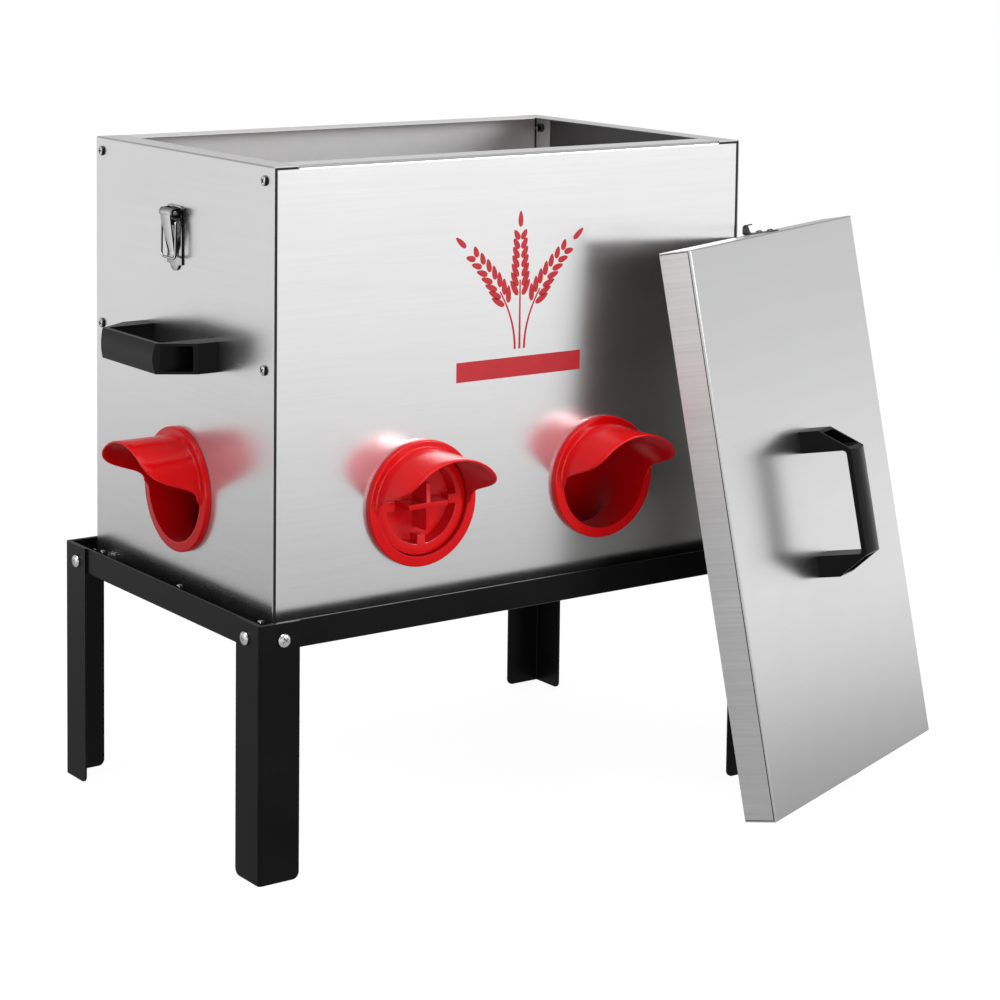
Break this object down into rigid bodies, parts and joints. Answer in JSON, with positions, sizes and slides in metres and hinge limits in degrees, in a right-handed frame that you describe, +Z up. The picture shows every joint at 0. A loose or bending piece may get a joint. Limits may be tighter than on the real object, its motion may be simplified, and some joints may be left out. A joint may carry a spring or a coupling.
{
  "type": "poultry port feeder",
  "caption": "Gravity poultry feeder: sheet-steel hopper on an angle-iron stand, with rain-hooded feed ports, a port plug, carrying handles, draw latches and a loose skirted lid.",
  "frame": {"origin": "on the floor, in the middle of the whole footprint with the lid leaning in place; the middle of the hopper and stand is at x -0.0747, y +0.0744", "axes": "+X to the hopper's right, -Y out of the front wall, +Z up"},
  "size_m": [0.767, 0.5082, 0.5965],
  "materials": {
    "brushed_sheet_steel": "satin brushed",
    "black_powder_coat": "satin black powder coat",
    "red_plastic": "gloss red moulded plastic",
    "black_plastic": "satin black moulded plastic",
    "bright_zinc": "bright zinc plate"
  },
  "bodies": {
    "feeder": {"back_left_bolt_back": "bright_zinc", "back_left_bolt_left": "bright_zinc", "back_left_leg": "black_powder_coat", "back_left_nut_back": "bright_zinc", "back_left_nut_left": "bright_zinc", "back_panel": "brushed_sheet_steel", "back_rail": "black_powder_coat", "back_right_bolt_back": "bright_zinc", "back_right_bolt_right": "bright_zinc", "back_right_leg": "black_powder_coat", "back_right_nut_back": "bright_zinc", "back_right_nut_right": "bright_zinc", "floor_pan": "brushed_sheet_steel", "front_left_bolt_front": "bright_zinc", "front_left_bolt_left": "bright_zinc", "front_left_leg": "black_powder_coat", "front_left_nut_front": "bright_zinc", "front_left_nut_left": "bright_zinc", "front_left_port": "red_plastic", "front_left_ring_nut": "red_plastic", "front_panel": "brushed_sheet_steel", "front_rail": "black_powder_coat", "front_right_bolt_front": "bright_zinc", "front_right_bolt_right": "bright_zinc", "front_right_leg": "black_powder_coat", "front_right_nut_front": "bright_zinc", "front_right_nut_right": "bright_zinc", "front_right_port": "red_plastic", "front_right_ring_nut": "red_plastic", "left_latch_base": "bright_zinc", "left_latch_pin": "bright_zinc", "left_middle_back_screw": "bright_zinc", "left_middle_front_screw": "bright_zinc", "left_rail": "black_powder_coat", "left_side_handle": "black_plastic", "left_side_panel": "brushed_sheet_steel", "left_side_port": "red_plastic", "left_side_ring_nut": "red_plastic", "left_top_back_screw": "bright_zinc", "left_top_front_screw": "bright_zinc", "right_latch_base": "bright_zinc", "right_latch_pin": "bright_zinc", "right_middle_back_screw": "bright_zinc", "right_middle_front_screw": "bright_zinc", "right_rail": "black_powder_coat", "right_side_handle": "black_plastic", "right_side_panel": "brushed_sheet_steel", "right_side_port": "red_plastic", "right_side_ring_nut": "red_plastic", "right_top_back_screw": "bright_zinc", "right_top_front_screw": "bright_zinc"},
    "lid": {"lid_panel": "brushed_sheet_steel", "lid_handle": "black_plastic", "upper_lid_keeper": "bright_zinc", "lower_lid_keeper": "bright_zinc"},
    "left_lever": {"left_latch_lever": "bright_zinc"},
    "left_bail": {"left_latch_bail": "bright_zinc"},
    "right_lever": {"right_latch_lever": "bright_zinc"},
    "right_bail": {"right_latch_bail": "bright_zinc"},
    "plug": {"feed_port_plug": "red_plastic"}
  },
  "joints": [
    {"name": "lid_lift", "type": "slide", "parent": "feeder", "child": "lid", "axis": [0, 0, 1], "range_m": [0, 0.45]},
    {"name": "left_lever_hinge", "type": "hinge", "parent": "feeder", "child": "left_lever", "pos_m": [-0.33149, 0.08244, 0.5425], "axis": [0, 1, 0], "range_deg": [0, 90]},
    {"name": "left_bail_hinge", "type": "hinge", "parent": "left_lever", "child": "left_bail", "pos_m": [-0.33149, 0.08244, 0.5345], "axis": [0, 1, 0], "range_deg": [0, 90]},
    {"name": "right_lever_hinge", "type": "hinge", "parent": "feeder", "child": "right_lever", "pos_m": [0.18211, 0.08244, 0.5425], "axis": [0, -1, 0], "range_deg": [0, 90]},
    {"name": "right_bail_hinge", "type": "hinge", "parent": "right_lever", "child": "right_bail", "pos_m": [0.18211, 0.08244, 0.5345], "axis": [0, -1, 0], "range_deg": [0, 90]},
    {"name": "plug_pull", "type": "slide", "parent": "feeder", "child": "plug", "axis": [0, -1, 0], "range_m": [0, 0.09]}
  ]
}
